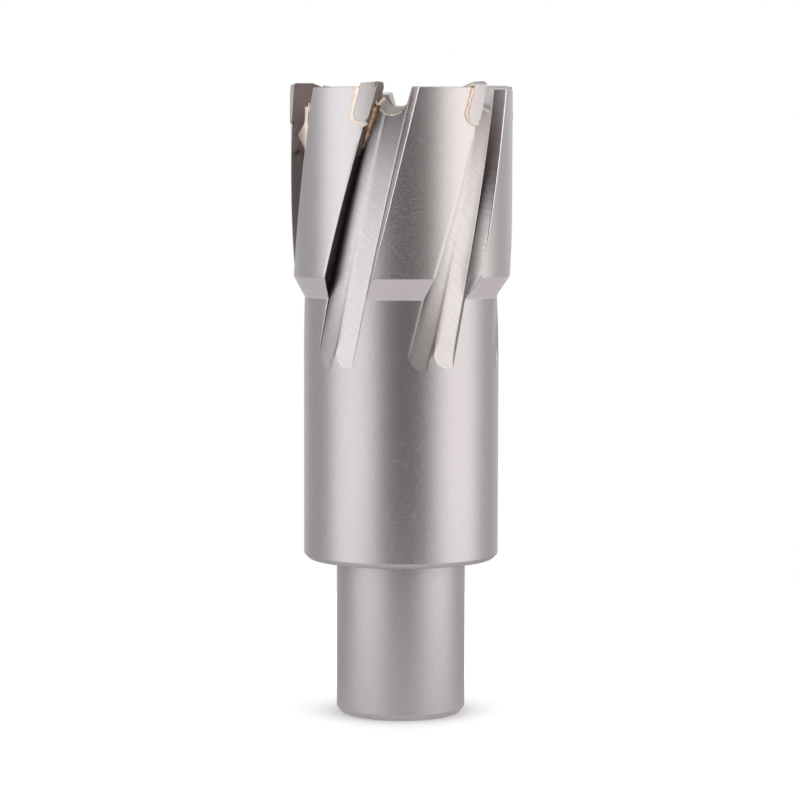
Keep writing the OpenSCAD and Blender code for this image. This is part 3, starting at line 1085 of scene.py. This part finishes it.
# Studio in metres. Light of the room from front to back, and of a lamp above that only gloss shows
ROOM = [(0.0, (0.125, 0.095, 0.1, 1)), (0.55, (0.125, 0.095, 0.1, 1)), (0.66, (0.57, 0.55, 0.555, 1)),
        (0.868, (0.55, 0.54, 0.55, 1)), (0.9, (1, 1, 1, 1))]
OVERHEAD = (1.8, 1.8, 1.8, 1)
OVERHEAD_Z = (0.86, 0.92)
# Small table: half width, front and back edge, and its glow in gloss in front of the part and behind it
TABLE_X = 0.08
TABLE_Y = (-0.085, 0.12)
TABLE_Z = -0.00003
TABLE_GLOSS = (0.46, 0.1)
GLOSS_Y = (-0.02, 0.03)
# Glow of the table to the camera by distance from the axis, as shares of GLOW_R: weaker round the
# foot, a painted shadow there, through which the part's own shadow also shows
FLOOR_GLOW = ((0.18, 0.25), (0.222, 0.43), (0.265, 0.54), (0.32, 0.6), (0.6, 0.9))
GLOW_R = 0.05
# Softboxes that hang past the table's edges: name, direction, width, radiance and tint
SOFTBOXES = (("softbox_left", -59, 0.92, 1.74, "#f9fbfd"), ("softbox_right", 69, 0.92, 1.8, "#fffdfa"))
SOFTBOX_AWAY = 0.8
SOFTBOX_H = 1.2
SOFTBOX_Z = 0.25
# Camera fitted to the photograph's edges: focal length in pixels of a frame PHOTO_PX wide, place, and angles
PHOTO_PX = 800
FOCAL_PX = 2788.1
SENSOR = 36
CAMERA_AT = (-0.000176, -0.4121, 0.07919)
CAMERA_DOWN = 4.542
CAMERA_ROLL = 0.12


def light_room():
    """A dim room in front and white paper behind. The camera sees white paper all round."""
    world = bpy.data.worlds.new("dim_room_white_paper")
    world.use_nodes = True
    tree = world.node_tree
    tree.nodes.clear()
    light = add(tree, "LightPath")
    way = add(tree, "TexCoord")
    axes = add(tree, "SeparateXYZ", links={"Vector": (way, "Generated")})
    back = add(tree, "MapRange", inputs={"From Min": -1.0, "From Max": 1.0}, links={"Value": (axes, "Y")})
    tones = add(tree, "ValToRGB", links={"Fac": (back, "Result")}, stops=ROOM)
    above = add(
        tree, "MapRange", {"interpolation_type": "SMOOTHSTEP"},
        {"From Min": OVERHEAD_Z[0], "From Max": OVERHEAD_Z[1]}, {"Value": (axes, "Z")})
    lamp = add(
        tree, "Math", {"operation": "MULTIPLY"}, links={0: (above, "Result"), 1: (light, "Is Glossy Ray")})
    lamp_lit = add(
        tree, "Mix", {"data_type": "RGBA"}, {"B": OVERHEAD},
        {"A": (tones, "Color"), "Factor": (lamp, "Value")})
    room = add(
        tree, "Mix", {"data_type": "RGBA"}, {"B": grey(1.0)},
        {"A": (lamp_lit, "Result"), "Factor": (light, "Is Camera Ray")})
    glow = add(tree, "Background", links={"Color": (room, "Result")})
    add(tree, "OutputWorld", links={"Surface": (glow, "Background")})
    bpy.context.scene.world = world


def matt_paper():
    """Matt white paper: white to the camera but for a painted shadow round the foot, where the part's own
    shadow also shows, and dimmer in the metal's gloss.
    """
    material, tree, spot = new_material("matt_white_paper")
    # Painted shadow: the glow that the camera sees is weaker near the foot, by distance from the axis
    away = add(tree, "VectorMath", {"operation": "LENGTH"}, links={0: (spot, "Object")})
    share = add(tree, "MapRange", inputs={"From Max": GLOW_R}, links={"Value": (away, "Value")})
    clear = add(
        tree, "ValToRGB", links={"Fac": (share, "Result")}, stops=[(at, grey(v)) for at, v in FLOOR_GLOW])
    light = add(tree, "LightPath")
    seen = add(
        tree, "Math", {"operation": "MULTIPLY"}, links={0: (light, "Is Camera Ray"), 1: (clear, "Color")})
    axes = add(tree, "SeparateXYZ", links={"Vector": (spot, "Object")})
    lit = add(
        tree, "MapRange", {"interpolation_type": "SMOOTHSTEP"},
        {"From Min": GLOSS_Y[0], "From Max": GLOSS_Y[1], "To Min": TABLE_GLOSS[0], "To Max": TABLE_GLOSS[1]},
        {"Value": (axes, "Y")})
    strength = add(
        tree, "Math", {"operation": "MULTIPLY_ADD"},
        links={0: (light, "Is Glossy Ray"), 1: (lit, "Result"), 2: (seen, "Value")})
    matt = add(tree, "BsdfDiffuse", inputs={"Color": grey(0.8)})
    glow = add(tree, "Emission", links={"Strength": (strength, "Value")})
    both = add(tree, "AddShader", links={0: (matt, "BSDF"), 1: (glow, "Emission")})
    add(tree, "OutputMaterial", links={"Surface": (both, "Shader")})
    return material


def make_table():
    bm = bmesh.new()
    front, back = TABLE_Y
    corners = [(-TABLE_X, front), (TABLE_X, front), (TABLE_X, back), (-TABLE_X, back)]
    bm.faces.new([bm.verts.new((x, y, TABLE_Z)) for x, y in corners])
    table = place("white_table", to_mesh(bm, "white_table"))
    table.data.materials.append(matt_paper())


def hang_softboxes():
    for name, azimuth, width, radiance, tint in SOFTBOXES:
        lamp = bpy.data.lights.new(name, "AREA")
        lamp.shape = "RECTANGLE"
        lamp.size = width
        lamp.size_y = SOFTBOX_H
        lamp.energy = radiance * pi * width * lamp.size_y
        lamp.color = linear(tint)[:3]
        obj = place(name, lamp)
        obj.location = (*on_ring(SOFTBOX_AWAY, azimuth), SOFTBOX_Z)
        obj.rotation_euler = (Vector((0, 0, SOFTBOX_Z)) - obj.location).to_track_quat("-Z", "Y").to_euler()


def set_camera():
    lens = bpy.data.cameras.new("camera")
    lens.sensor_width = SENSOR
    lens.lens = FOCAL_PX * SENSOR / PHOTO_PX
    lens.clip_start = 0.01
    camera = place("camera", lens)
    camera.location = CAMERA_AT
    pitch = Matrix.Rotation(radians(90 - CAMERA_DOWN), 3, "X")
    roll = Matrix.Rotation(radians(CAMERA_ROLL), 3, "Z")
    camera.rotation_euler = (pitch @ roll).to_euler()
    bpy.context.scene.camera = camera


make_body()
carbide = ground_carbide("tungsten_carbide_ground", "#b0a9a8", "#b7b2b1", "#bbb6b6")
tinted_carbide = ground_carbide("tungsten_carbide_heat_tinted", "#aa9b97", "#b6a7a3", "#baaba7")
braze = poured_braze()
for tooth in range(1, TEETH + 1):
    make_tip(tooth, carbide, tinted_carbide)
    make_braze(tooth, braze)
bpy.context.scene.view_settings.view_transform = "Standard"
light_room()
make_table()
hang_softboxes()
set_camera()
